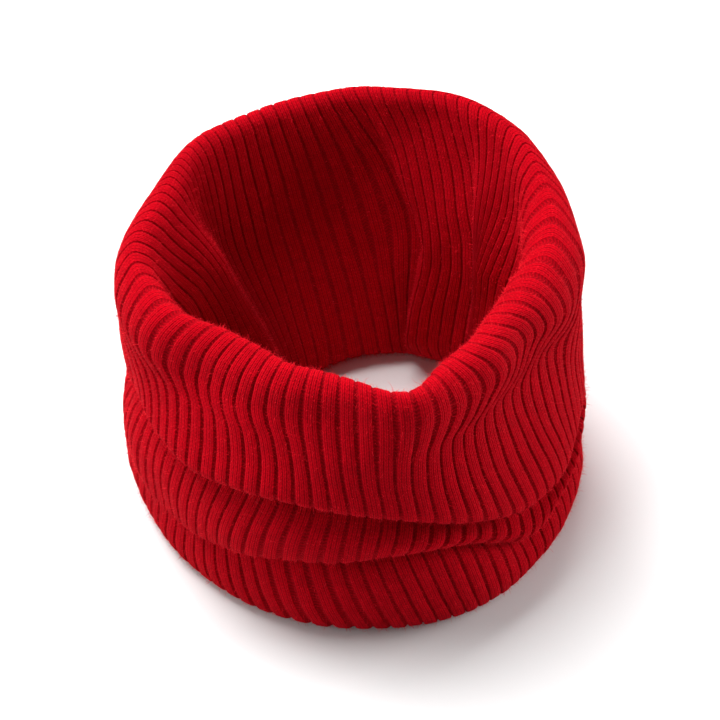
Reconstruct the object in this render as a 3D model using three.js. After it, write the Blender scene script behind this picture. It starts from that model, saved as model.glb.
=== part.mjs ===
// Knit snood, a short tube scarf for the neck, standing by itself on a flat surface.
// One rib-knitted tube is doubled: it is folded over at the rim, and its two ends are
// linked to each other under the foot. The outer layer has sunk into three bands, with
// two overlapping folds between them. The inner layer funnels down to a smaller hem.
// Units are millimetres. +Z is up, -Y is the front, and the foot rests on Z = 0.
import * as THREE from 'three';

// Driving dimensions
const RIB_COUNT = 84;
const CLOTH = 1.9;
const RIB_RELIEF = 1.1;
const SEAM_GAP = 0.3;
const FOOT_INSET = 6;
const FOOT_FLAT = 12;
const WALL_HEIGHT = 60;
const HIDDEN_POINTS = 84;
const NARROW_BAND = 16;
const CENTRE = { x: -1.3, y: 0.1 };

// A table with named columns, as a list of rows that hold their values by name
function table(columns, rows) {
  return rows.map((row) => Object.fromEntries(columns.map((name, i) => [name, row[i]])));
}

// Sections round the tube, seen from above. angle is in degrees from the front towards
// the right. rimR and rimZ place the crest of the rim, rollOut and rollIn say how far the
// rolled rim reaches to each side of it. wallR and hemR are the inner layer's radius at
// half height and at its lowest fold.
const RIM_SECTIONS = table(['angle', 'rimR', 'rimZ', 'rollOut', 'rollIn', 'wallR', 'hemR'], [
  [0, 63, 108, 8, 6, 56, 44],
  [16, 71, 108, 6, 6, 58, 46],
  [30, 66, 107.5, 8, 8, 57, 47],
  [45, 64, 107.5, 8, 9, 56, 47],
  [60, 62.5, 107, 7.5, 9, 57, 49],
  [80, 66, 107.5, 12, 10.5, 60, 51],
  [95, 72, 108.5, 11, 11, 65, 54],
  [112, 78, 110, 8, 9, 69, 58],
  [130, 84.5, 111, 5, 6, 70, 58],
  [150, 87.5, 112, 3.5, 5.5, 68, 53],
  [173, 83.5, 112, 3.5, 5, 66, 46.5],
  [205, 79, 111.5, 4, 5, 65, 38],
  [230, 77, 111, 4.5, 6, 64, 40],
  [248, 73.5, 110, 6, 7, 62, 43],
  [272, 77, 108.5, 6.5, 7.5, 61, 45],
  [292, 69, 107.5, 11, 7, 57, 45],
  [313, 57.5, 107, 12, 5, 52, 43],
  [340, 59, 107.5, 10, 5, 53, 43],
]);

// Sections of the outer layer below the rim: the waist under the rolled rim, then each
// fold's lip, its height and how deep the crease under it goes, and the foot
const BAND_SECTIONS = table([
  'angle', 'waistR', 'waistZ', 'lip1R', 'lip1Z', 'fold1', 'lip2R', 'lip2Z', 'fold2', 'footR',
], [
  [0, 79, 84, 85, 62.5, 9, 86.5, 39, 8, 87.5],
  [15, 80, 85, 86.5, 57, 9, 87, 41, 8, 89.5],
  [28, 76.5, 85, 87, 49, 7, 88, 37.5, 7, 91],
  [38, 73.5, 85, 87.5, 42.5, 7, 88.5, 29.5, 7, 91],
  [48, 72, 84.5, 87.5, 37.5, 6.5, 89, 21.5, 7, 90],
  [60, 73, 83.5, 87.5, 35.5, 5, 88.5, 25, 5, 89],
  [73, 75.5, 82, 87, 38.5, 4, 87.5, 29.5, 3, 88],
  [88, 82, 78, 86.5, 40.5, 4.5, 86.5, 30.5, 3, 86.5],
  [105, 86, 76, 86, 43, 6, 86, 30, 5, 86.5],
  [140, 87.5, 80, 87, 50, 8, 86, 28, 6, 87],
  [180, 85, 82, 86, 54, 8, 86, 30, 6, 87.5],
  [220, 81, 82, 84.5, 52, 8, 85, 27, 5, 86.5],
  [250, 80.5, 82, 83.5, 50, 6, 84.5, 26, 2, 85.5],
  [270, 83, 80, 81.5, 49.5, 5, 84, 24, 0, 84],
  [288, 80, 82, 80.5, 57.5, 7, 83.5, 24, 0, 82.5],
  [308, 75, 84, 82.5, 61, 8.5, 83.5, 25, 1, 82.5],
  [323, 73.5, 85, 84, 62.5, 9, 85, 29, 5, 84],
  [343, 75, 86, 84.5, 66, 9, 86.5, 36.5, 8, 86],
]);

// Where key ribs lie round the tube at each level, in degrees. The ribs between them
// are spaced smoothly. The levels are the rim's crest, the outer side of its roll, the
// waist, the flare below it, the two lips, the foot, and the inner layer at half height
// and at its hem.
const RIB_LINES = table([
  'rib', 'rim', 'roll', 'waist', 'flare', 'lip1', 'lip2', 'foot', 'wall', 'hem',
], [
  [0, -3, -3, -2, -1, 0, -2.5, 6, -4, -4],
  [5, 22, 22.5, 19.5, 19, 20.5, 17, 25, 24, 23],
  [10, 45, 50, 38.5, 38, 41.5, 38, 41, 50, 49],
  [13, 61.5, 65.5, 51.5, 51, 53.5, 49.5, 50, 68, 66],
  [16, 80, 78, 64.5, 61.5, 63, 60, 59.5, 88, 84],
  [21, 114, 104, 90, 80, 78, 76, 77, 122, 112],
  [26, 133, 126, 114, 104, 98, 96, 96, 131, 121],
  [30, 147, 143, 136, 126, 118, 116, 115, 137, 129],
  [35, 162, 159, 154, 147, 140, 138, 137, 147.5, 143],
  [38, 172, 170, 165.5, 159, 153, 151, 150, 154, 150],
  [41, 182.5, 181, 177.5, 171.5, 166, 164, 163, 160.5, 152.5],
  [43, 190, 188.5, 185.5, 180.5, 175, 173, 172, 175, 157],
  [45, 197.5, 196, 193.5, 189, 184, 182, 181, 187.5, 174],
  [49, 213, 212, 210, 206, 201, 200, 199, 209, 206],
  [53, 226, 226, 226.5, 225, 222, 221, 220, 221, 217],
  [59, 241, 244, 248, 250.5, 251, 249.5, 248.5, 227, 225.5],
  [62, 251, 255, 260, 265, 266, 264.5, 263.5, 234, 235],
  [66, 267, 271, 275, 281.5, 284, 283.5, 282.5, 249.5, 252],
  [69, 279, 283, 288, 294, 297, 298, 297, 264, 266],
  [73, 302, 302, 308, 312, 314, 313, 314, 288, 289],
  [79, 331.5, 330.5, 335, 338, 338.5, 334, 341, 324, 325],
]);

// Upright folds in the inner layer, where its spare width has buckled. rim, half and hem
// are the angle of the fold's edge at those levels. step says how far the cloth on one
// side of the edge stands proud, width how far round from the edge that is felt, and
// proud which side it is: 1 for larger angles, -1 for smaller ones.
const WALL_FOLDS = table(['rim', 'half', 'hem', 'step', 'proud', 'width'], [
  [174, 156, 154, 7, -1, 26],
  [148, 130, 121, 5.5, -1, 9],
  [236, 224, 220, 7, 1, 24],
  [318, 318, 318, 3, 1, 24],
]);

const turn = (degrees) => (degrees * Math.PI) / 180;

// A smooth closed curve through one column of a table. key is the column that says where
// each row lies, period its full turn, and rise what the value gains in one full turn.
function column(rows, name, at, key = 'angle', period = 360, rise = 0) {
  const count = rows.length;
  const turns = Math.floor(at / period);
  const place = at - turns * period;
  let low = -1;
  while (low + 1 < count && rows[low + 1][key] <= place) low += 1;
  const row = (i) => {
    const lap = Math.floor(i / count);
    const source = rows[i - lap * count];
    return { at: source[key] + period * lap, value: source[name] + rise * lap };
  };
  const [before, start, end, after] = [row(low - 1), row(low), row(low + 1), row(low + 2)];
  const span = end.at - start.at;
  const t = (place - start.at) / span;
  const slopeStart = ((end.value - before.value) / (end.at - before.at)) * span;
  const slopeEnd = ((after.value - start.value) / (after.at - start.at)) * span;
  const t2 = t * t;
  const t3 = t2 * t;
  return turns * rise + (2 * t3 - 3 * t2 + 1) * start.value + (t3 - 2 * t2 + t) * slopeStart
    + (3 * t2 - 2 * t3) * end.value + (t3 - t2) * slopeEnd;
}

function sectionAt(degrees) {
  const section = {};
  for (const rows of [RIM_SECTIONS, BAND_SECTIONS]) {
    for (const name of Object.keys(rows[0])) {
      if (name !== 'angle') section[name] = column(rows, name, degrees);
    }
  }
  section.fold1 = Math.max(section.fold1, 0);
  section.fold2 = Math.max(section.fold2, 0);
  section.seamR = section.footR - FOOT_INSET - FOOT_FLAT;
  return section;
}

const ANY_SECTION = sectionAt(0);

// The outer layer's profile, from the crest of the rim down to the seam under the foot.
// levels names the two columns of RIB_LINES that a point lies between, and the share.
// The cloth is pressed thinner where the middle band is too narrow for its full thickness.
function outerProfile(s) {
  const rollDrop = 1.05 * s.rollOut + 2;
  const shoulder = { r: s.rimR + s.rollOut, z: s.rimZ - rollDrop };
  const band2 = s.lip1Z - s.lip2Z;
  const top2 = s.lip1Z - Math.min(4.6, 0.4 * band2);
  const nose2 = s.lip2Z + Math.min(3.4, 0.3 * band2);
  const bandR = (s.lip1R + s.lip2R) / 2;
  const cloth = CLOTH * THREE.MathUtils.clamp(band2 / NARROW_BAND, 0.5, 1);
  return [
    { r: s.rimR, z: s.rimZ, levels: ['rim', 'rim', 0], relief: 1 },
    { r: s.rimR + 0.66 * s.rollOut, z: s.rimZ - 0.3 * rollDrop, levels: ['rim', 'roll', 0.8], relief: 1 },
    { r: shoulder.r, z: shoulder.z, levels: ['roll', 'roll', 0], relief: 1 },
    { r: 0.45 * shoulder.r + 0.55 * s.waistR, z: 0.45 * shoulder.z + 0.55 * s.waistZ,
      levels: ['roll', 'waist', 0.25], relief: 1 },
    { r: s.waistR, z: s.waistZ, levels: ['waist', 'waist', 0], relief: 1 },
    { r: 0.55 * s.waistR + 0.45 * s.lip1R, z: 0.55 * s.waistZ + 0.45 * (s.lip1Z + 4),
      levels: ['waist', 'flare', 0.9], relief: 1 },
    { r: 0.15 * s.waistR + 0.85 * s.lip1R, z: 0.2 * s.waistZ + 0.8 * (s.lip1Z + 4),
      levels: ['flare', 'lip1', 0.6], relief: 1 },
    { r: s.lip1R, z: s.lip1Z + 3.6, levels: ['flare', 'lip1', 0.95], relief: 1 },
    { r: s.lip1R - 0.3 * s.fold1, z: s.lip1Z, levels: ['lip1', 'lip1', 0], relief: 0.7 },
    { r: s.lip1R - s.fold1, z: s.lip1Z - 0.4, levels: ['lip1', 'lip2', 0.02], relief: 0.2, cloth },
    { r: bandR - 0.5 * s.fold1, z: top2, levels: ['lip1', 'lip2', 0.1], relief: 0.6, cloth },
    { r: bandR + 0.6, z: (top2 + nose2) / 2, levels: ['lip1', 'lip2', 0.6], relief: 1, cloth },
    { r: s.lip2R, z: nose2, levels: ['lip1', 'lip2', 0.9], relief: 1, cloth },
    { r: s.lip2R - 0.32 * s.fold2, z: s.lip2Z - 0.4, levels: ['lip2', 'foot', 0], relief: 0.7 },
    { r: s.lip2R - s.fold2, z: s.lip2Z - 1, levels: ['lip2', 'foot', 0.03], relief: 0.2 },
    { r: s.footR - 0.5 * s.fold2, z: s.lip2Z - 5, levels: ['lip2', 'foot', 0.15], relief: 0.7 },
    { r: s.footR, z: 0.42 * s.lip2Z, levels: ['lip2', 'foot', 0.6], relief: 1 },
    { r: s.footR - 1.8, z: 3, levels: ['lip2', 'foot', 0.95], relief: 0.8 },
    { r: s.footR - FOOT_INSET, z: 0, levels: ['foot', 'foot', 0], relief: 0 },
    { r: s.seamR + SEAM_GAP / 2, z: 0, levels: ['foot', 'foot', 0], relief: 0 },
  ];
}

// The inner layer's profile, from the crest down to the same seam
function innerProfile(s) {
  const rollDrop = 1.1 * s.rollIn + 2;
  const shoulder = { r: s.rimR - s.rollIn, z: s.rimZ - rollDrop };
  return [
    { r: s.rimR - SEAM_GAP, z: s.rimZ, levels: ['rim', 'rim', 0], relief: 1 },
    { r: s.rimR - 0.66 * s.rollIn, z: s.rimZ - 0.3 * rollDrop, levels: ['rim', 'wall', 0.05], relief: 1 },
    { r: shoulder.r, z: shoulder.z, levels: ['rim', 'wall', 0.15], relief: 1 },
    { r: 0.5 * (shoulder.r + s.wallR) + 1, z: 0.5 * (shoulder.z + WALL_HEIGHT),
      levels: ['rim', 'wall', 0.6], relief: 1 },
    { r: s.wallR, z: WALL_HEIGHT, levels: ['wall', 'wall', 0], relief: 1 },
    { r: 0.42 * s.wallR + 0.58 * s.hemR, z: 33, levels: ['wall', 'hem', 0.55], relief: 1 },
    { r: s.hemR + 1.5, z: 15, levels: ['wall', 'hem', 0.9], relief: 1 },
    { r: s.hemR + 1, z: 7, levels: ['hem', 'hem', 0], relief: 1 },
    { r: s.hemR + 6.5, z: 0, levels: ['hem', 'hem', 0], relief: 0 },
    { r: s.seamR - SEAM_GAP / 2, z: 0, levels: ['hem', 'hem', 0], relief: 0 },
  ];
}

// How far the upright folds move the inner layer towards the axis at one angle and height
function wallFoldDepth(degrees, height, rimHeight) {
  const down = THREE.MathUtils.clamp(1 - height / rimHeight, 0, 1);
  const grow = THREE.MathUtils.smoothstep(down, 0.02, 0.35) * THREE.MathUtils.smoothstep(height, 0, 22);
  const above = THREE.MathUtils.clamp((height - WALL_HEIGHT) / (rimHeight - WALL_HEIGHT), 0, 1);
  const below = THREE.MathUtils.clamp((WALL_HEIGHT - height) / WALL_HEIGHT, 0, 1);
  let depth = 0;
  for (const fold of WALL_FOLDS) {
    const edge = fold.half + above * (fold.rim - fold.half) + below * (fold.hem - fold.half);
    const away = ((degrees - edge + 540) % 360) - 180;
    const stands = 0.5 + 0.5 * Math.tanh((fold.proud * away) / 3);
    const fade = Math.exp(-((away / fold.width) ** 2));
    depth += fold.step * stands * fade * grow;
  }
  return depth;
}

// The angle of a rib, counted round the tube, at one profile point
function ribAngle(profile, rib, index) {
  const [upper, lower, share] = profile(ANY_SECTION)[index].levels;
  const from = column(RIB_LINES, upper, rib, 'rib', RIB_COUNT, 360);
  const to = column(RIB_LINES, lower, rib, 'rib', RIB_COUNT, 360);
  return from + (to - from) * share;
}

function clothAt(profile, rib, index) {
  return profile(sectionAt(ribAngle(profile, rib, index)))[index].cloth ?? CLOTH;
}

// One point of a layer's shown face, before its ribs are raised
function layerPoint(profile, rib, index) {
  const degrees = ribAngle(profile, rib, index);
  const section = sectionAt(degrees);
  const point = profile(section)[index];
  const folded = profile === innerProfile && point.relief > 0;
  const r = point.r - (folded ? wallFoldDepth(degrees, point.z, section.rimZ) : 0);
  return new THREE.Vector3(r * Math.sin(turn(degrees)), -r * Math.cos(turn(degrees)), point.z);
}

// The direction out of the cloth's ribbed face, from its neighbours along and across
function outward(profile, rib, index, last, side) {
  const along = layerPoint(profile, rib, Math.min(index + 1, last))
    .sub(layerPoint(profile, rib, Math.max(index - 1, 0)));
  const round = layerPoint(profile, rib + 0.4, index)
    .sub(layerPoint(profile, rib - 0.4, index));
  return along.cross(round).normalize().multiplyScalar(side);
}

// A closed wall: ribbed rows on the face that shows, plain rows on the hidden face. On the
// ribbed face a groove lies at each whole rib number, and a ridge halfway to the next.
function layerGeometry(profile, side) {
  const last = profile(ANY_SECTION).length - 1;
  const ribPoints = RIB_COUNT * 2;
  const positions = [];
  const faces = [];
  const addRing = (index, count, offset) => {
    const first = positions.length / 3;
    for (let i = 0; i < count; i += 1) {
      const rib = (RIB_COUNT * i) / count;
      const point = layerPoint(profile, rib, index);
      const normal = outward(profile, rib, index, last, side);
      if (index === 0) normal.set(0, 0, 1);
      if (point.z === 0) normal.set(0, 0, -1);
      point.addScaledVector(normal, offset(i, rib));
      positions.push(point.x, point.y, point.z);
    }
    return { first, count };
  };
  const stitch = (a, b, flip) => {
    let i = 0;
    let j = 0;
    const push = (p, q, r) => faces.push(...(flip ? [p, r, q] : [p, q, r]));
    while (i < a.count || j < b.count) {
      const takeA = j >= b.count || (i < a.count && (i + 1) * b.count <= (j + 1) * a.count);
      const pa = a.first + (i % a.count);
      const pb = b.first + (j % b.count);
      if (takeA) {
        push(pa, pb, a.first + ((i + 1) % a.count));
        i += 1;
      } else {
        push(pa, pb, b.first + ((j + 1) % b.count));
        j += 1;
      }
    }
  };
  const reliefs = profile(ANY_SECTION).map((point) => point.relief * RIB_RELIEF);
  const shown = reliefs.map((relief, index) => addRing(index, ribPoints, (i) => (i % 2 ? relief : 0)));
  const hidden = reliefs.map((_, index) => addRing(
    index, HIDDEN_POINTS, (_i, rib) => -clothAt(profile, rib, index),
  ));
  const flip = side < 0;
  for (let k = 0; k < last; k += 1) {
    stitch(shown[k], shown[k + 1], flip);
    stitch(hidden[k], hidden[k + 1], !flip);
  }
  stitch(hidden[0], shown[0], flip);
  stitch(shown[last], hidden[last], flip);
  const geometry = new THREE.BufferGeometry();
  geometry.setAttribute('position', new THREE.Float32BufferAttribute(positions, 3));
  geometry.setIndex(faces);
  geometry.computeVertexNormals();
  return geometry;
}

// Dyed wool-blend rib knit: matt, with no shine
function knit(colour) {
  return new THREE.MeshStandardMaterial({ color: colour, roughness: 0.95, metalness: 0 });
}

const outerLayer = new THREE.Mesh(layerGeometry(outerProfile, 1), knit(0xc40d16));
outerLayer.name = 'outer_layer';

const innerLayer = new THREE.Mesh(layerGeometry(innerProfile, -1), knit(0xb00a12));
innerLayer.name = 'inner_layer';

const snood = new THREE.Group();
snood.name = 'knit_snood';
snood.add(outerLayer, innerLayer);
snood.position.set(CENTRE.x, CENTRE.y, 0);
snood.updateMatrixWorld(true);

export default snood;
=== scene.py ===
# %% [markdown]
# # A rib-knit snood that stands in its own folds
#
# A snood is a short tube scarf for the neck. This one is a single tube of chunky rib,
# doubled so that its fold makes the rim, and it has sunk into three soft bands. The packed
# model gives the frame: two thin walls from nearly the same tables, with gentler folds
# inside. Here they are replaced by one shell with higher ribs, a stitch pattern and a halo
# of loose fibres.

import bpy
import numpy as np
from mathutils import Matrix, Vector


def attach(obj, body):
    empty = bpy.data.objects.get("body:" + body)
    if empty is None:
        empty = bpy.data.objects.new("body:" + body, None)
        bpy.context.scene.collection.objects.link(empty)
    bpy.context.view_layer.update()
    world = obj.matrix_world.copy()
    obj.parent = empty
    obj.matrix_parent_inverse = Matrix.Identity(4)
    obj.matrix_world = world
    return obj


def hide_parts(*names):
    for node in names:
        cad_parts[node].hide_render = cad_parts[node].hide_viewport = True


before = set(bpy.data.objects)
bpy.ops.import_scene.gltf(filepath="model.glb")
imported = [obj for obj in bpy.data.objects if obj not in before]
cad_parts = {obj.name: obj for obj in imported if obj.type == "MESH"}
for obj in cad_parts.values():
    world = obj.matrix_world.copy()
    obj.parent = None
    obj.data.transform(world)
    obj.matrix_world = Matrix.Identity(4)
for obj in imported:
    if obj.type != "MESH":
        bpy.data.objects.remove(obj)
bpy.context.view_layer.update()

# %% [markdown]
# ## Sizes
#
# All sizes are in millimetres until the mesh is made. The ribs run round the tube in
# equal number at every height, because one tube is knitted on one set of needles.

# %% Sizes of the cloth
MM = 0.001
RIB_COUNT = 84
CLOTH = 1.9  # thickness without the ribs
SEAM_GAP = 0.3  # between the two ends under the foot
FOOT_INSET = 6.0  # from the foot's widest line in to the flat underside
FOOT_FLAT = 12.0  # width of that underside
WALL_HEIGHT = 60.0  # half height of the inner layer
CENTRE = (-1.3, 0.1)  # the tube's axis
COURSE = 1.35  # one row of stitches along the tube

# %% [markdown]
# ## Sections round the tube
#
# A cloth that stands by itself has no straight lines, so its shape is a table of sections.
# Each row is one angle, in degrees from the front towards the right. The first table is
# the rim and the inner layer: the crest of the rim, how far the rolled rim reaches to each
# side of it, and the inner layer's radius at half height and at its lowest fold. The second
# is the outer layer: the waist under the rim, the two lips that hang over the creases
# below them, how deep each crease goes, and the foot.

# %% Tables of sections
RIM_COLUMNS = ("angle", "rim_r", "rim_z", "roll_out", "roll_in", "wall_r", "hem_r")
RIM_SECTIONS = (
    (0, 63, 108, 8, 6, 56, 44),
    (16, 71, 108, 6, 6, 58, 46),
    (30, 66, 107.5, 8, 8, 57, 47),
    (45, 64, 107.5, 8, 9, 56, 47),
    (60, 62.5, 107, 7.5, 9, 57, 49),
    (80, 66, 107.5, 12, 10.5, 60, 51),
    (95, 72, 108.5, 11, 11, 65, 54),
    (112, 78, 110, 8, 9, 69, 58),
    (130, 84.5, 111, 5, 6, 70, 58),
    (150, 87.5, 112, 3.5, 5.5, 68, 53),
    (173, 83.5, 112, 3.5, 5, 66, 46.5),
    (205, 79, 111.5, 4, 5, 65, 38),
    (230, 77, 111, 4.5, 6, 64, 40),
    (248, 73.5, 110, 6, 7, 62, 43),
    (272, 77, 108.5, 6.5, 7.5, 61, 45),
    (292, 69, 107.5, 11, 7, 57, 45),
    (313, 57.5, 107, 12, 5, 52, 43),
    (340, 59, 107.5, 10, 5, 53, 43),
)
BAND_COLUMNS = (
    "angle", "waist_r", "waist_z", "lip1_r", "lip1_z", "fold1", "lip2_r", "lip2_z", "fold2",
    "foot_r",
)
BAND_SECTIONS = (
    (0, 79, 84, 85, 62.5, 9, 86.5, 39, 8, 87.5),
    (15, 80, 85, 86.5, 57, 9, 87, 41, 8, 89.5),
    (28, 76.5, 85, 87, 49, 7, 88, 37.5, 7, 91),
    (38, 73.5, 85, 87.5, 42.5, 7, 88.5, 29.5, 7, 91),
    (48, 72, 84.5, 87.5, 37.5, 6.5, 89, 21.5, 7, 90),
    (60, 73, 83.5, 87.5, 35.5, 5, 88.5, 25, 5, 89),
    (73, 75.5, 82, 87, 38.5, 4, 87.5, 29.5, 3, 88),
    (88, 82, 78, 86.5, 40.5, 4.5, 86.5, 30.5, 3, 86.5),
    (105, 86, 76, 86, 43, 6, 86, 30, 5, 86.5),
    (140, 87.5, 80, 87, 50, 8, 86, 28, 6, 87),
    (180, 85, 82, 86, 54, 8, 86, 30, 6, 87.5),
    (220, 81, 82, 84.5, 52, 8, 85, 27, 5, 86.5),
    (250, 80.5, 82, 83.5, 50, 6, 84.5, 26, 2, 85.5),
    (270, 83, 80, 81.5, 49.5, 5, 84, 24, 0, 84),
    (288, 80, 82, 80.5, 57.5, 7, 83.5, 24, 0, 82.5),
    (308, 75, 84, 82.5, 61, 8.5, 83.5, 25, 1, 82.5),
    (323, 73.5, 85, 84, 62.5, 9, 85, 29, 5, 84),
    (343, 75, 86, 84.5, 66, 9, 86.5, 36.5, 8, 86),
)

# %% [markdown]
# The ribs don't run straight down. Where the cloth bends and folds they slant, so a third
# table says at what angle some of them lie at each level, and the rest follow smoothly.
# Inside, spare width has buckled into upright folds, one row of the last table for each:
# its angle at the rim, at half height and at the hem, how far it stands in from the wall,
# on which side of its edge (1 is the side of larger angles), how wide it is in degrees, and
# over how many degrees its edge turns.

# %% Tables of ribs and upright folds
RIB_COLUMNS = ("rib", "rim", "roll", "waist", "flare", "lip1", "lip2", "foot", "wall", "hem")
RIB_LINES = (
    (0, -3, -3, -2, -1, 0, -2.5, 6, -4, -4),
    (5, 22, 22.5, 19.5, 19, 20.5, 17, 25, 24, 23),
    (10, 45, 50, 38.5, 38, 41.5, 38, 41, 50, 49),
    (13, 61.5, 65.5, 51.5, 51, 53.5, 49.5, 50, 68, 66),
    (16, 80, 78, 64.5, 61.5, 63, 60, 59.5, 88, 84),
    (21, 114, 104, 90, 80, 78, 76, 77, 115, 108),
    (26, 133, 126, 114, 104, 98, 96, 96, 127, 119),
    (32, 152.5, 149.5, 143.5, 134.5, 127, 125, 124, 130.5, 125),
    (35, 162, 159, 154, 147, 140, 138, 137, 141, 138),
    (38, 172, 170, 165.5, 159, 153, 151, 150, 151, 151),
    (40, 179, 177.5, 173.5, 167.5, 161.5, 159.5, 158.5, 155, 153.5),
    (41, 182.5, 181, 177.5, 171.5, 166, 164, 163, 160, 155),
    (43, 190, 188.5, 185.5, 180.5, 175, 173, 172, 175, 161),
    (45, 197.5, 196, 193.5, 189, 184, 182, 181, 187.5, 174),
    (49, 213, 212, 210, 206, 201, 200, 199, 209, 206),
    (53, 226, 226, 226.5, 225, 222, 221, 220, 225, 219),
    (59, 241, 244, 248, 250.5, 251, 249.5, 248.5, 233, 227),
    (62, 251, 255, 260, 265, 266, 264.5, 263.5, 239, 235),
    (66, 267, 271, 275, 281.5, 284, 283.5, 282.5, 249.5, 252),
    (69, 279, 283, 288, 294, 297, 298, 297, 264, 266),
    (73, 302, 302, 308, 312, 314, 313, 314, 288, 289),
    (79, 331.5, 330.5, 335, 338, 338.5, 334, 341, 324, 325),
)
FOLD_COLUMNS = ("rim", "half", "hem", "step", "proud", "width", "soft")
WALL_FOLDS = (
    (180, 152.5, 154, 10, -1, 26, 1.2),
    (148, 130, 121, 7, -1, 9, 1.2),
    (246, 231, 223, 15, 1, 20, 4.5),
    (318, 318, 318, 3, 1, 24, 3.0),
)


def named(columns, rows):
    return {name: np.array([row[i] for row in rows], float) for i, name in enumerate(columns)}


rim_table = named(RIM_COLUMNS, RIM_SECTIONS)
band_table = named(BAND_COLUMNS, BAND_SECTIONS)
rib_table = named(RIB_COLUMNS, RIB_LINES)
print("sections:", len(RIM_SECTIONS), "and", len(BAND_SECTIONS), "ribs named:", len(RIB_LINES))

# %% [markdown]
# ## Smooth curves through the tables
#
# A closed curve through each column gives the shape at any angle. It is the usual cubic
# through the rows, with each slope taken from the rows on both sides, so that no section
# shows as a corner.


# %% Read a column anywhere round the tube
def cubic(t, start, leaving, end, arriving):
    """The smooth value between two others, for t from 0 to 1, with a slope at each of them."""
    return (
        (2 * t**3 - 3 * t**2 + 1) * start + (t**3 - 2 * t**2 + t) * leaving
        + (3 * t**2 - 2 * t**3) * end + (t**3 - t**2) * arriving
    )


def column(table, name, at, key="angle", period=360.0, rise=0.0):
    """The smooth value of a column. rise is what it gains in one full turn."""
    keys = table[key]
    count = len(keys)
    at = np.asarray(at, float)
    turns = np.floor(at / period)
    place = at - turns * period
    low = np.searchsorted(keys, place, side="right") - 1

    def row(i):
        lap = np.floor_divide(i, count)
        return keys[i - lap * count] + period * lap, table[name][i - lap * count] + rise * lap

    (x0, y0), (x1, y1), (x2, y2), (x3, y3) = row(low - 1), row(low), row(low + 1), row(low + 2)
    span = x2 - x1
    t = (place - x1) / span
    leaving = (y2 - y0) / (x2 - x0) * span
    arriving = (y3 - y1) / (x3 - x1) * span
    return turns * rise + cubic(t, y1, leaving, y2, arriving)


def section_at(angles):
    found = {}
    for table in (rim_table, band_table):
        for name in table:
            if name != "angle":
                found[name] = column(table, name, angles)
    found["fold1"] = np.maximum(found["fold1"], 0)
    found["fold2"] = np.maximum(found["fold2"], 0)
    found["seam_r"] = found["foot_r"] - FOOT_INSET - FOOT_FLAT
    return found


print("rim radius at the front:", float(column(rim_table, "rim_r", 0)))

# %% [markdown]
# ## The profile
#
# The profile is the line that one rib follows: from the seam under the foot up the inner
# layer, over the rim, and down the outer layer through its folds. Each point gives a radius
# and a height, the two levels of the rib table that it lies between, how much of the rib's
# relief is left there, and how many rows of mesh lead to the next point.


# %% Points of the profile
FOLDS_BEGIN = (0.02, 0.35)  # shares of the way down over which the upright folds grow
FOLDS_END = 22  # and the height in mm under which they fade out again


def inner_points(s):
    drop = 1.1 * s["roll_in"] + 2
    shoulder_r = s["rim_r"] - s["roll_in"]
    shoulder_z = s["rim_z"] - drop
    return [
        (s["seam_r"] - SEAM_GAP / 2, 0, "hem", "hem", 0, 0.0, 5),
        (s["hem_r"] + 6.5, 0, "hem", "hem", 0, 0.2, 4),
        (s["hem_r"] + 1, 7, "hem", "hem", 0, 0.6, 4),
        (s["hem_r"] + 1.5, 15, "wall", "hem", 0.9, 0.6, 7),
        (0.42 * s["wall_r"] + 0.58 * s["hem_r"], 33, "wall", "hem", 0.55, 0.6, 9),
        (s["wall_r"], WALL_HEIGHT, "wall", "wall", 0, 0.6, 7),
        (0.5 * (shoulder_r + s["wall_r"]) + 1, 0.5 * (shoulder_z + WALL_HEIGHT),
         "rim", "wall", 0.6, 0.7, 7),
        (shoulder_r, shoulder_z, "rim", "wall", 0.15, 0.7, 4),
        (s["rim_r"] - 0.66 * s["roll_in"], s["rim_z"] - 0.3 * drop, "rim", "wall", 0.05, 0.5, 4),
    ]


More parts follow.
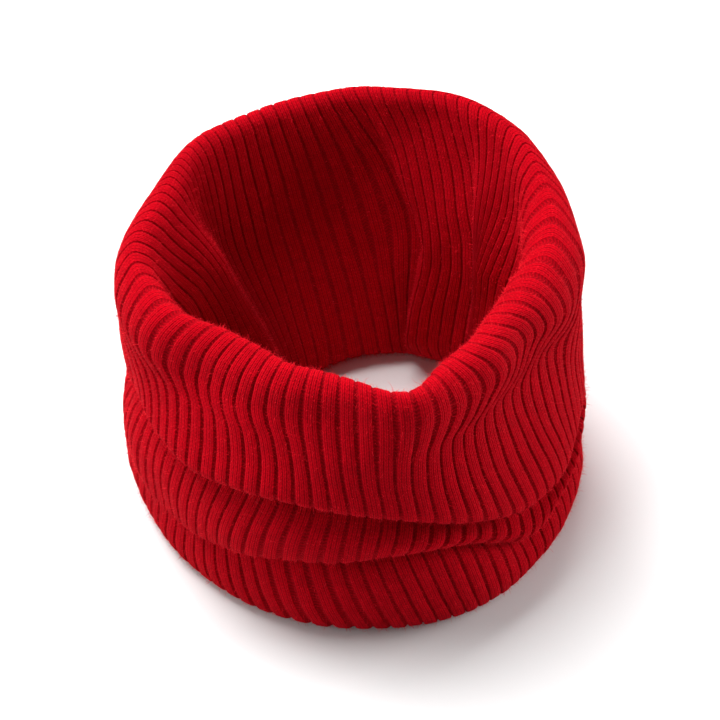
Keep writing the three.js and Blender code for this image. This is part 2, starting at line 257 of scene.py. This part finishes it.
def outer_points(s):
    drop = 1.05 * s["roll_out"] + 2
    shoulder_r = s["rim_r"] + s["roll_out"]
    shoulder_z = s["rim_z"] - drop
    band2 = s["lip1_z"] - s["lip2_z"]
    top2 = s["lip1_z"] - np.minimum(4.6, 0.4 * band2)
    nose2 = s["lip2_z"] + np.minimum(3.4, 0.3 * band2)
    band_r = (s["lip1_r"] + s["lip2_r"]) / 2
    flare_z = s["lip1_z"] + 4
    return [
        (s["rim_r"], s["rim_z"], "rim", "rim", 0, 0.35, 4),
        (s["rim_r"] + 0.66 * s["roll_out"], s["rim_z"] - 0.3 * drop, "rim", "roll", 0.7, 0.6, 4),
        (shoulder_r, shoulder_z, "roll", "roll", 0, 0.9, 4),
        (0.45 * shoulder_r + 0.55 * s["waist_r"], 0.45 * shoulder_z + 0.55 * s["waist_z"],
         "roll", "waist", 0.45, 1.0, 5),
        (s["waist_r"], s["waist_z"], "waist", "waist", 0, 1.0, 6),
        (0.55 * s["waist_r"] + 0.45 * s["lip1_r"], 0.55 * s["waist_z"] + 0.45 * flare_z,
         "waist", "flare", 0.8, 1.0, 5),
        (0.15 * s["waist_r"] + 0.85 * s["lip1_r"], 0.2 * s["waist_z"] + 0.8 * flare_z,
         "flare", "lip1", 0.6, 1.0, 4),
        (s["lip1_r"], s["lip1_z"] + 3.6, "flare", "lip1", 0.95, 0.75, 4),
        (s["lip1_r"] - 0.3 * s["fold1"], s["lip1_z"], "lip1", "lip1", 0, 0.3, 3),
        (s["lip1_r"] - s["fold1"], s["lip1_z"] - 0.4, "lip1", "lip2", 0.02, 0.1, 4),
        (band_r - 0.5 * s["fold1"], top2, "lip1", "lip2", 0.1, 0.6, 4),
        (band_r + 0.6, (top2 + nose2) / 2, "lip1", "lip2", 0.6, 1.0, 4),
        (s["lip2_r"], nose2, "lip1", "lip2", 0.9, 0.8, 3),
        (s["lip2_r"] - 0.32 * s["fold2"], s["lip2_z"] - 0.4, "lip2", "foot", 0, 0.3, 3),
        (s["lip2_r"] - s["fold2"], s["lip2_z"] - 1, "lip2", "foot", 0.03, 0.1, 4),
        (s["foot_r"] - 0.5 * s["fold2"], s["lip2_z"] - 5, "lip2", "foot", 0.15, 0.7, 4),
        (s["foot_r"], 0.42 * s["lip2_z"], "lip2", "foot", 0.6, 1.0, 5),
        (s["foot_r"] - 1.8, 3, "lip2", "foot", 0.95, 0.8, 4),
        (s["foot_r"] - FOOT_INSET, 0, "foot", "foot", 0, 0.1, 3),
        (s["seam_r"] + SEAM_GAP / 2, 0, "foot", "foot", 0, 0.0, 0),
    ]


def wall_fold_depth(angles, height, rim_height):
    """How far the upright folds move the inner layer towards the axis."""

    def smoothstep(x, low, high):
        t = np.clip((x - low) / (high - low), 0, 1)
        return t * t * (3 - 2 * t)

    down = np.clip(1 - height / rim_height, 0, 1)
    grow = smoothstep(down, *FOLDS_BEGIN) * smoothstep(height, 0, FOLDS_END)
    above = np.clip((height - WALL_HEIGHT) / (rim_height - WALL_HEIGHT), 0, 1)
    below = np.clip((WALL_HEIGHT - height) / WALL_HEIGHT, 0, 1)
    depth = np.zeros_like(angles)
    for row in WALL_FOLDS:
        fold = dict(zip(FOLD_COLUMNS, row))
        half = fold["half"]
        edge = half + above * (fold["rim"] - half) + below * (fold["hem"] - half)
        away = (angles - edge + 540) % 360 - 180
        stands = 0.5 + 0.5 * np.tanh(fold["proud"] * away / fold["soft"])
        depth += fold["step"] * stands * np.exp(-((away / fold["width"]) ** 2)) * grow
    return depth


# %% [markdown]
# A curve through the points rounds them off. The kind used here spaces itself by the root
# of each step's length, which keeps it from looping in the tight creases.


# %% Curve through the profile's points
def through_points(points, rows):
    """A smooth line through points[k, column, xy], with rows[k] rows after each point."""
    first = 2 * points[0] - points[1]
    last = 2 * points[-1] - points[-2]
    p = np.concatenate([first[None], points, last[None]])
    step = np.maximum(np.linalg.norm(np.diff(p, axis=0), axis=2) ** 0.5, 1e-3)
    knots = np.concatenate([np.zeros((1, p.shape[1])), np.cumsum(step, axis=0)])
    out = []
    for k in range(len(points) - 1):
        p0, p1, p2, p3 = p[k : k + 4]
        t0, t1, t2, t3 = (knots[k + i][:, None] for i in range(4))
        for i in range(rows[k]):
            t = t1 + (t2 - t1) * i / rows[k]
            a1 = (t1 - t) / (t1 - t0) * p0 + (t - t0) / (t1 - t0) * p1
            a2 = (t2 - t) / (t2 - t1) * p1 + (t - t1) / (t2 - t1) * p2
            a3 = (t3 - t) / (t3 - t2) * p2 + (t - t2) / (t3 - t2) * p3
            b1 = (t2 - t) / (t2 - t0) * a1 + (t - t0) / (t2 - t0) * a2
            b2 = (t3 - t) / (t3 - t1) * a2 + (t - t1) / (t3 - t1) * a3
            out.append((t2 - t) / (t2 - t1) * b1 + (t - t1) / (t2 - t1) * b2)
    out.append(points[-1])
    return np.array(out)


ANGLE_STEP = 0.5
angle_grid = np.arange(0, 360, ANGLE_STEP)
grid_section = section_at(angle_grid)
inner = inner_points(grid_section)
outer = outer_points(grid_section)
radii, heights, uppers, lowers, shares, reliefs, rows_after = zip(*inner, *outer)
controls = np.array([
    np.stack([np.broadcast_to(value, angle_grid.shape) for value in point], 1)
    for point in zip(radii, heights)
], float)
rz_grid = through_points(controls, rows_after)
rz_grid[:, :, 1] = np.maximum(rz_grid[:, :, 1], 0)
row_count = len(rz_grid)
crest_row = sum(rows_after[: len(inner)])
for row in rz_grid[:crest_row]:
    row[:, 0] -= wall_fold_depth(angle_grid, row[:, 1], grid_section["rim_z"])
print("rows along the tube:", row_count)

# %% [markdown]
# Each rib crosses the rows of the profile at its own angles, which run smoothly from one
# level of the rib table to the next. A slow wobble keeps the bands from looking turned on
# a lathe.

# %% Where each rib lies on each row
# Size in mm, waves in one turn, radians for each mm of height, and start in radians
WOBBLES = ((0.45, 5, 0.05, 1.0), (0.35, 9, -0.11, 4.0), (0.25, 16, 0.17, 2.2))
CALM_FOOT = 12  # mm from the floor up to where the wobble is whole
control_at = np.concatenate([[0], np.cumsum(rows_after[:-1])]).astype(float)
row_at = np.arange(row_count, dtype=float)


def along_rows(values):
    """A smooth curve through one value for each profile point, at every row of mesh."""
    x, y = control_at, np.asarray(values, float)
    slope = np.gradient(y, x, axis=0)
    low = np.clip(np.searchsorted(x, row_at, side="right") - 1, 0, len(x) - 2)
    span = x[low + 1] - x[low]
    t = (row_at - x[low]) / span
    if y.ndim > 1:
        t, span = t[:, None], span[:, None]
    return cubic(t, y[low], slope[low] * span, y[low + 1], slope[low + 1] * span)


def rib_angles(ribs):
    """The angle of each rib, or place between ribs, on every row."""
    at_points = []
    for upper, lower, share in zip(uppers, lowers, shares):
        start = column(rib_table, upper, ribs, "rib", RIB_COUNT, 360.0)
        end = column(rib_table, lower, ribs, "rib", RIB_COUNT, 360.0)
        at_points.append(start + (end - start) * share)
    return along_rows(np.array(at_points))


def surface_at(ribs):
    """Points of the smooth cloth, without its ribs, for every row and each place in ribs."""
    angles = rib_angles(ribs)
    spot = (angles % 360) / ANGLE_STEP
    low = np.floor(spot).astype(int)
    share = (spot - low)[..., None]
    rows = np.arange(row_count)[:, None]
    size = len(angle_grid)
    rz = rz_grid[rows, low % size] * (1 - share) + rz_grid[rows, (low + 1) % size] * share
    turn = np.radians(angles)
    z = rz[..., 1]
    wobble = sum(size * np.sin(times * turn + up * z + start) for size, times, up, start in WOBBLES)
    r = rz[..., 0] + np.clip(z / CALM_FOOT, 0, 1) * wobble
    return np.stack([r * np.sin(turn), -r * np.cos(turn), z], 2)


# %% [markdown]
# ## Ribs
#
# Each rib is three columns of knit stitches that stand up as a round ridge, and one column
# of purl stitches that sinks between them. The ridge keeps its width wherever the cloth
# goes, and the groove takes up the rest: it gapes where the cloth is spread, and shuts to
# a thin line where it is gathered. Eight points across a rib draw that shape.

# %% Points across one rib
RIDGE_WIDTH = 4.8
GROOVE_LEAST, GROOVE_MOST = 0.14, 0.34  # shares of the pitch
SHOULDER = 0.28  # share of half a ridge, from the groove to where its top begins
RELIEF = 1.05
UNEVEN = 0.08  # spread of the ribs' heights
FLAT_PITCH, WHOLE_PITCH = 0.8, 4.2  # where squeezed ribs are nearly flat, and where not at all
FLAT_RELIEF = 0.05
STITCH_COLUMNS = 4  # across a rib: one purl and three knit
POINTS_ACROSS = 8
HIDDEN_ROWS = 2  # the hidden face has a point for every second row, and one for each rib

rng = np.random.default_rng(84)
rib_centres = np.arange(RIB_COUNT, dtype=float)
coarse = surface_at(rib_centres)
pitch = np.linalg.norm(np.roll(coarse, -1, axis=1) - np.roll(coarse, 1, axis=1), axis=2) / 2
for _ in range(2):
    pitch = (np.roll(pitch, 1, 1) + 2 * pitch + np.roll(pitch, -1, 1)) / 4
groove = np.clip(1 - RIDGE_WIDTH / pitch, GROOVE_LEAST, GROOVE_MOST)
print("rib pitch in mm: from", round(float(pitch.min()), 1), "to", round(float(pitch.max()), 1))

half = 0.5 * groove
across = [np.zeros_like(half), 0.45 * half, half, half + (0.5 - half) * SHOULDER,
          np.full_like(half, 0.5)]
places = np.stack(across + [1 - across[3], 1 - across[2], 1 - across[1]], 2)
# Where the same eight points lie in stitches, and how high in shares of the relief
stitch_half = [0, 0.225, 0.5, 0.5 + 1.5 * SHOULDER]
stitch_place = np.array(stitch_half + [2, 3.5 - 1.5 * SHOULDER, 3.5, 3.775])
height_place = np.array([-0.12, 0.0, 0.68, 0.97, 1.0, 0.97, 0.68, 0.0])
rib_places = (rib_centres[None, :, None] + places).reshape(row_count, -1)
column_count = rib_places.shape[1]
print("columns round the tube:", column_count)

# %% [markdown]
# The smooth cloth is found once at even steps, with its outward direction. Each column of
# the mesh then takes its point from between two of those steps, and is pushed out by the
# height that the rib has there.

# %% Raise the ribs
EVEN_STEPS = 8
even = np.arange(RIB_COUNT * EVEN_STEPS) / EVEN_STEPS
smooth_cloth = surface_at(even)
down_cloth = np.gradient(smooth_cloth, axis=0)
round_cloth = np.roll(smooth_cloth, -2, axis=1) - np.roll(smooth_cloth, 2, axis=1)
outward = np.cross(down_cloth, round_cloth)
outward /= np.maximum(np.linalg.norm(outward, axis=2, keepdims=True), 1e-9)
rows = np.arange(row_count)[:, None]


def between(values, places_round):
    """Values of the even grid at other places round the tube."""
    spot = (places_round % RIB_COUNT) * EVEN_STEPS
    low = np.floor(spot).astype(int)
    share = (spot - low)[..., None]
    size = values.shape[1]
    return values[rows, low % size] * (1 - share) + values[rows, (low + 1) % size] * share


base = between(smooth_cloth, rib_places)
normal = between(outward, rib_places)
normal /= np.linalg.norm(normal, axis=2, keepdims=True)
relief = along_rows(reliefs)
height = np.tile(height_place, RIB_COUNT)[None, :] * np.clip(relief, 0, 1)[:, None]
uneven = 1 + UNEVEN * rng.standard_normal(RIB_COUNT).repeat(POINTS_ACROSS)[None, :]
squeezed = np.clip((pitch - FLAT_PITCH) / (WHOLE_PITCH - FLAT_PITCH), FLAT_RELIEF, 1.0)
shut = np.repeat(squeezed, POINTS_ACROSS, axis=1)
shown = base + normal * (RELIEF * height * uneven * shut)[..., None]
shown[..., 2] = np.maximum(shown[..., 2], 0)
behind = (slice(None, None, HIDDEN_ROWS), slice(None, None, POINTS_ACROSS))
hidden = base[behind] - normal[behind] * CLOTH
hidden[..., 2] = np.maximum(hidden[..., 2], CLOTH)
print("cloth reaches", round(float(shown[..., 2].max()), 1), "mm high")

# %% [markdown]
# ## The shell as a mesh
#
# The shown face is a grid of four-sided faces. The hidden face between the two layers is a
# coarser grid, and a strip of faces closes each end at the seam, so the cloth has its real
# thickness. The second coordinate of each corner counts rows of stitches along the tube,
# and the first counts columns of stitches round it: the material reads both.


# %% Build the tube
def length_along(points):
    step = np.linalg.norm(np.diff(points, axis=0), axis=2)
    total = np.concatenate([np.zeros((1, points.shape[1])), np.cumsum(step, axis=0)])
    return total - total[crest_row]


length = between(length_along(smooth_cloth)[..., None], rib_places)[..., 0]


def grid_faces(first, rows_in, columns_in, flip):
    i, j = np.meshgrid(np.arange(rows_in - 1), np.arange(columns_in), indexing="ij")
    a = first + i * columns_in + j
    b = first + i * columns_in + (j + 1) % columns_in
    c = first + (i + 1) * columns_in + (j + 1) % columns_in
    d = first + (i + 1) * columns_in + j
    quads = np.stack([a, d, c, b] if flip else [a, b, c, d], 2)
    return quads.reshape(-1, 4)


def end_faces(fine_first, coarse_first, columns_in, ratio, flip):
    """Joins the shown face to the hidden one, where each point serves ratio columns."""
    faces = []
    for j in range(columns_in):
        a, b = fine_first + j, fine_first + (j + 1) % columns_in
        here = coarse_first + j // ratio
        faces.append((a, b, here))
        if j % ratio == ratio - 1:
            faces.append((b, coarse_first + (j // ratio + 1) % (columns_in // ratio), here))
    return [(b, a, c) for a, b, c in faces] if flip else faces


def smooth_mesh(name, points, faces):
    """A mesh in metres from points in millimetres round the tube's axis."""
    mesh = bpy.data.meshes.new(name)
    mesh.from_pydata(((points + (*CENTRE, 0.0)) * MM).tolist(), [], faces)
    mesh.shade_smooth()
    return mesh


def knit_mesh(name):
    hidden_rows, hidden_columns = hidden.shape[:2]
    points = np.concatenate([shown.reshape(-1, 3), hidden.reshape(-1, 3)])
    hidden_first = row_count * column_count
    shown_quads = grid_faces(0, row_count, column_count, True)
    hidden_quads = grid_faces(hidden_first, hidden_rows, hidden_columns, False)
    ends = end_faces(0, hidden_first, column_count, POINTS_ACROSS, True)
    ends += end_faces((row_count - 1) * column_count,
                      hidden_first + (hidden_rows - 1) * hidden_columns,
                      column_count, POINTS_ACROSS, False)
    faces = [tuple(map(int, f)) for part in (shown_quads, hidden_quads, ends) for f in part]
    mesh = smooth_mesh(name, points, faces)
    courses = (length / COURSE).reshape(-1)
    rib_of = np.arange(column_count) // POINTS_ACROSS
    stitches = rib_of * STITCH_COLUMNS + np.tile(stitch_place, RIB_COUNT)
    corner_point = np.zeros(len(mesh.loops), np.int32)
    mesh.loops.foreach_get("vertex_index", corner_point)
    on_show = corner_point < hidden_first
    point_of = np.where(on_show, corner_point, 0)
    u = stitches[point_of % column_count]
    v = courses[point_of]
    # The faces after the last column end at the first one, a whole turn further on
    quad_corners = 4 * len(shown_quads)
    last_column = np.zeros(len(mesh.loops), bool)
    last_column[:quad_corners] = np.repeat(
        shown_quads.max(axis=1) % column_count == column_count - 1, 4
    ) & np.repeat((shown_quads % column_count == 0).any(axis=1), 4)
    u = np.where(last_column & (u < 1), u + RIB_COUNT * STITCH_COLUMNS, u)
    layer = mesh.uv_layers.new(name="stitches")
    layer.data.foreach_set("uv", np.stack([u, v], 1).astype(np.float32).reshape(-1))
    return mesh


knit_tube = bpy.data.objects.new("knit_tube", knit_mesh("knit_tube"))
bpy.context.collection.objects.link(knit_tube)
triangles = sum(len(p.vertices) - 2 for p in knit_tube.data.polygons)
print("knit tube:", triangles, "triangles")

# %% [markdown]
# ## Wool-blend rib knit, dyed red
#
# The yarn is a soft wool blend, spun loosely and dyed through, so the cloth is quite matt:
# roughness is near 1 and there is no highlight, only a faint sheen where loose fibres catch
# the light at a glancing angle. The stitches are drawn by a bump that reads the stitch
# coordinates. A knit stitch is a V, two slanting legs beside a narrow valley, and a purl
# stitch is a short wave across the groove. Shade is painted into the colour: the low parts
# of each stitch, and still more the purl columns, take a darker painted-shade red, as little
# light gets in there.


# %% Helpers for colours and nodes
def colour(hex_code):
    """An sRGB hex colour as linear values with alpha."""
    parts = [int(hex_code[i : i + 2], 16) / 255 for i in (1, 3, 5)]
    return tuple(c / 12.92 if c <= 0.04045 else ((c + 0.055) / 1.055) ** 2.4 for c in parts) + (1,)


def add(tree, kind, inputs=None, **settings):
    """Adds one node, with its settings, and its inputs set or linked."""
    node = tree.nodes.new(kind)
    for name, value in settings.items():
        setattr(node, name, value)
    for socket, value in (inputs or {}).items():
        if isinstance(value, bpy.types.NodeSocket):
            tree.links.new(value, node.inputs[socket])
        else:
            node.inputs[socket].default_value = value
    return node


def maths(tree, operation, *values):
    """The result of one operation on numbers or sockets."""
    inputs = dict(enumerate(values))
    return add(tree, "ShaderNodeMath", inputs, operation=operation).outputs[0]


def new_material(name):
    material = bpy.data.materials.new(name)
    material.use_nodes = True
    material.node_tree.nodes.clear()
    return material, material.node_tree


WOOL_RED = colour("#b80012")
# The darker red is painted shade for the stitches' hollows and the purl columns, not a second dye.
WOOL_PAINTED_SHADE = colour("#5c0006")
WOOL_SHEEN = colour("#ff1830")
print("wool red, linear:", [round(c, 3) for c in WOOL_RED[:3]])

# %% Stitch height from the stitch coordinates
LEG_POWER = 0.6  # under 1, so that a leg is broad with steep sides
LEG_SLANT = 0.6  # rows that a leg climbs towards its column's edge
LEG_WAVE = 0.22  # how far its height swings along each stitch
COLUMN_DOME = 0.35  # how far a knit column falls off towards its edges
PURL_SIZE, PURL_DROP = 1.1, -0.6


def stitch_height(tree):
    """Socket with the height of the stitch surface, about 0 to 1, and one that marks purl."""
    uv = add(tree, "ShaderNodeUVMap", uv_map="stitches")
    split = add(tree, "ShaderNodeSeparateXYZ", {0: uv.outputs[0]})
    u, v = split.outputs[0], split.outputs[1]
    index = maths(tree, "FLOOR", maths(tree, "ADD", u, 0.5))
    side = maths(tree, "SUBTRACT", u, index)
    edge = maths(tree, "ABSOLUTE", maths(tree, "MULTIPLY", side, 2.0))
    lap = maths(tree, "FLOORED_MODULO", index, float(STITCH_COLUMNS))
    purl = maths(tree, "LESS_THAN", lap, 0.5)
    leg = maths(tree, "SINE", maths(tree, "MULTIPLY", edge, np.pi))
    leg = maths(tree, "POWER", maths(tree, "MAXIMUM", leg, 0.0), LEG_POWER)
    slant = maths(tree, "MULTIPLY_ADD", edge, LEG_SLANT, v)
    wave = maths(tree, "COSINE", maths(tree, "MULTIPLY", slant, 2 * np.pi))
    wave = maths(tree, "MULTIPLY_ADD", wave, LEG_WAVE, 1 - LEG_WAVE)
    knit = maths(tree, "MULTIPLY", leg, wave)
    knit = maths(tree, "MULTIPLY_ADD", maths(tree, "POWER", edge, 2.0), -COLUMN_DOME, knit)
    loop = maths(tree, "MULTIPLY_ADD", wave, PURL_SIZE, PURL_DROP)
    mixed = add(tree, "ShaderNodeMix", {0: purl, 2: knit, 3: loop}, data_type="FLOAT")
    return mixed.outputs[0], purl


# %% Material: wool-blend rib knit
FELT_SHARE = 0.9  # height of the matted fibres beside the stitches' own
STITCH_DEPTH = 0.00032  # metres
PURL_SHADE = 0.2
# Painted shade: the stitch height sets how much of the darker red each spot gets, most in the low
# parts.
STITCH_SHADE_LEVELS = {1: -0.3, 2: 0.75, 3: 0.0, 4: 1.0}  # from a stitch's height to its colour
DYE = {1: 0.6, 2: 1.4, 3: 0.78, 4: 1.18}  # from both noises to the dye's brightness


def wool_rib_knit():
    material, tree = new_material("wool_blend_rib_knit_dyed_red")
    stitch, purl = stitch_height(tree)
    place = add(tree, "ShaderNodeTexCoord").outputs["Object"]
    # Loose fibres mat the surface at about 0.4 mm, and the yarn's twist varies over 3 mm
    felt = add(tree, "ShaderNodeTexNoise",
               {"Vector": place, "Scale": 2400.0, "Detail": 3.0, "Roughness": 0.7}).outputs[0]
    twist = add(tree, "ShaderNodeTexNoise",
                {"Vector": place, "Scale": 330.0, "Detail": 2.0}).outputs[0]
    total = maths(tree, "MULTIPLY_ADD", felt, FELT_SHARE, stitch)
    bump = add(tree, "ShaderNodeBump", {"Strength": 0.9, "Distance": STITCH_DEPTH, "Height": total})
    # Painted shade: the low parts of each stitch are mixed towards the darker painted-shade red.
    depth = add(tree, "ShaderNodeMapRange", {0: stitch, **STITCH_SHADE_LEVELS}).outputs[0]
    tone = add(tree, "ShaderNodeMix", {0: depth, 6: WOOL_PAINTED_SHADE, 7: WOOL_RED}, data_type="RGBA")
    # Little light leaves the purl columns between two ridges, so they get more painted shade
    shade = maths(tree, "MULTIPLY", purl, PURL_SHADE)
    tone = add(tree, "ShaderNodeMix", {0: shade, 6: tone.outputs[2], 7: WOOL_PAINTED_SHADE},
               data_type="RGBA")
    both = maths(tree, "MULTIPLY_ADD", felt, 1.0, twist)
    dye = add(tree, "ShaderNodeMapRange", {0: both, **DYE}).outputs[0]
    tone = add(tree, "ShaderNodeHueSaturation", {"Value": dye, "Color": tone.outputs[2]})
    cloth = add(tree, "ShaderNodeBsdfPrincipled", {
        "Base Color": tone.outputs[0], "Roughness": 0.95, "Specular IOR Level": 0.04,
        "Sheen Weight": 0.25, "Sheen Roughness": 0.45, "Sheen Tint": WOOL_SHEEN,
        "Normal": bump.outputs[0],
    })
    add(tree, "ShaderNodeOutputMaterial", {0: cloth.outputs[0]})
    return material


knit_tube.data.materials.append(wool_rib_knit())
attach(knit_tube, "root")
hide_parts("outer_layer", "inner_layer")
print("material:", knit_tube.data.materials[0].name)

# %% [markdown]
# ## Loose fibres
#
# Wool never has a clean edge: fibres stand out of the yarn by a millimetre or two and blur
# every outline. They are fine three-sided hairs with their roots in the cloth: one mesh of
# long ones with a bend halfway, and one of short straight ones that mat the surface. They
# are drawn about three times as thick as real ones, which are too fine to show at this size.

# %% Comb out the loose fibres
FIBRE_COUNT = 21000
FIBRE_RADIUS = 0.045
NAP_COUNT = 64000
FIBRES_FROM = 1.0  # no fibres on the underside, below this height
LEAN, BEND = 0.65, 0.35  # how far a fibre leans at its root, and turns halfway
ROOT_DEPTH = 0.3
FLOOR_GAP = 0.05


def fibre_roots(count, chance):
    """Places spread evenly over the shown face, each with the outward direction there."""
    a, b, d = shown[:-1], np.roll(shown, -1, axis=1)[:-1], shown[1:]
    area = np.linalg.norm(np.cross(b - a, d - a), axis=2)
    area[a[..., 2] < FIBRES_FROM] = 0
    pick = chance.choice(area.size, count, p=(area / area.sum()).reshape(-1))
    i, j = np.unravel_index(pick, area.shape)
    s, t = chance.random((2, count, 1))
    return a[i, j] + s * (b[i, j] - a[i, j]) + t * (d[i, j] - a[i, j]), normal[i, j]


def unit(vectors):
    return vectors / np.linalg.norm(vectors, axis=1, keepdims=True)


def fibre_mesh(name, count, seed, radius, short, mean, bends):
    """Fine three-sided hairs. A bent one has a second ring halfway along it."""
    chance = np.random.default_rng(seed)
    root, out = fibre_roots(count, chance)
    spread = chance.normal(size=(count, 3))
    spread -= (spread * out).sum(1, keepdims=True) * out
    long = chance.gamma(3.0, mean / 3, (count, 1)) + short
    lean = unit(out + LEAN * spread)
    bent = unit(lean + BEND * chance.normal(size=(count, 3)) + 0.25 * spread)
    middle = root + 0.5 * long * lean
    tip = middle + 0.5 * long * (bent if bends else lean)
    side = unit(np.cross(lean, chance.normal(size=(count, 3))))
    other = np.cross(lean, side)
    rings = [(root - ROOT_DEPTH * out, radius)]
    pattern = ((0, 1, 3), (1, 2, 3), (2, 0, 3))
    if bends:
        rings.append((middle, 0.8 * radius))
        pattern = ((0, 1, 4, 3), (1, 2, 5, 4), (2, 0, 3, 5), (3, 4, 6), (4, 5, 6), (5, 3, 6))
    turns = 2 * np.pi * np.arange(3) / 3
    corners = [
        centre + wide * (np.cos(turn) * side + np.sin(turn) * other)
        for centre, wide in rings for turn in turns
    ]
    points = np.stack(corners + [tip], 1)
    each = points.shape[1]
    points = points.reshape(-1, 3)
    points[:, 2] = np.maximum(points[:, 2], FLOOR_GAP)
    faces = [tuple(each * k + n for n in face) for k in range(count) for face in pattern]
    return smooth_mesh(name, points, faces)


def loose_wool_fibre():
    material, tree = new_material("loose_wool_fibre_dyed_red")
    fibre = add(tree, "ShaderNodeBsdfPrincipled", {
        "Base Color": colour("#f01024"), "Roughness": 0.8, "Specular IOR Level": 0.2,
    })
    add(tree, "ShaderNodeOutputMaterial", {0: fibre.outputs[0]})
    return material


fibre_material = loose_wool_fibre()
loose_fibres = bpy.data.objects.new(
    "loose_fibres", fibre_mesh("loose_fibres", FIBRE_COUNT, 7, FIBRE_RADIUS, 0.5, 1.25, True))
short_fibres = bpy.data.objects.new(
    "short_fibres", fibre_mesh("short_fibres", NAP_COUNT, 8, FIBRE_RADIUS, 0.4, 0.6, False))
for hairs in (loose_fibres, short_fibres):
    bpy.context.collection.objects.link(hairs)
    hairs.data.materials.append(fibre_material)
    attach(hairs, "root")
    print(hairs.name, sum(len(p.vertices) - 2 for p in hairs.data.polygons), "triangles")

# %% [markdown]
# ## What the cloth was cut from
#
# The tube has no cut edges of its own: it was knitted round, to this width and this length,
# then doubled. The declared size is the width round it and the whole length of the tube,
# from one linked end over the rim to the other. It was measured at the waist of a draft, and
# the two measures that are printed here are up to 2 per cent smaller.

tube_length = float((length.max(axis=0) - length.min(axis=0)).mean())
lower_rows = pitch[row_count * 2 // 3 :]
round_it = float(lower_rows.mean() * RIB_COUNT)
print("in the model, in mm:", round(round_it), "round by", round(tube_length), "long")

# %% [markdown]
# ## Floor, light and camera
#
# The snood stands on a plain white table under one large soft box from above, behind and to
# the left, so the bands shade each other and the shadow falls soft to the front and right.
# Three weaker boxes at the left, right and front keep those sides from going black. The
# lens is long and looks down at the same angle as in the photograph.

# %% Floor
TABLE = 3.0  # metres from the middle to each edge
TABLE_DROP = 0.0002
table_corners = [(TABLE * x, TABLE * y, 0) for x, y in ((-1, -1), (1, -1), (1, 1), (-1, 1))]
floor_mesh = bpy.data.meshes.new("table_top")
floor_mesh.from_pydata(table_corners, [], [(0, 1, 2, 3)])
floor = bpy.data.objects.new("table_top", floor_mesh)
floor.location.z = -TABLE_DROP
bpy.context.collection.objects.link(floor)
floor_material, floor_tree = new_material("matt_white_board")
board = add(floor_tree, "ShaderNodeBsdfPrincipled",
            {"Base Color": colour("#e9e9e9"), "Roughness": 0.9, "Specular IOR Level": 0.2})
add(floor_tree, "ShaderNodeOutputMaterial", {0: board.outputs[0]})
floor.data.materials.append(floor_material)

# %% Light
SURROUND = 0.11
AIM = Vector((0, 0, 0.04))
scene = bpy.context.scene
world = bpy.data.worlds.new("white_surround")
world.use_nodes = True
surround = world.node_tree.nodes["Background"]
surround.inputs[0].default_value = (1, 1, 1, 1)
surround.inputs[1].default_value = SURROUND
scene.world = world
scene.view_settings.view_transform = "Standard"


def soft_lamp(name, place, size, watts):
    lamp = bpy.data.lights.new(name, "AREA")
    lamp.shape = "SQUARE"
    lamp.size = size
    lamp.energy = watts
    holder = bpy.data.objects.new(name, lamp)
    holder.location = place
    holder.rotation_euler = (AIM - Vector(place)).to_track_quat("-Z", "Y").to_euler()
    bpy.context.collection.objects.link(holder)


soft_lamp("soft_box_above", (-0.38, 0.48, 1.00), 1.0, 35)
soft_lamp("soft_box_left", (-1.10, 0.00, 0.40), 0.8, 5)
soft_lamp("soft_box_right", (1.10, 0.20, 0.35), 0.7, 12)
soft_lamp("soft_box_front", (-0.60, -1.00, 0.90), 1.2, 3)

# %% Camera
CAMERA_ELEVATION = 47.0
CAMERA_DISTANCE = 0.950
CAMERA_TARGET = Vector((0.0024, 0.0001, 0.052))
CAMERA_LENS = 128.4
camera_data = bpy.data.cameras.new("camera")
camera_data.lens = CAMERA_LENS
camera_data.sensor_width = 36.0
camera = bpy.data.objects.new("camera", camera_data)
tilt = np.radians(CAMERA_ELEVATION)
camera.location = CAMERA_TARGET + CAMERA_DISTANCE * Vector((0, -np.cos(tilt), np.sin(tilt)))
camera.rotation_euler = (CAMERA_TARGET - camera.location).to_track_quat("-Z", "Y").to_euler()
bpy.context.collection.objects.link(camera)
scene.camera = camera
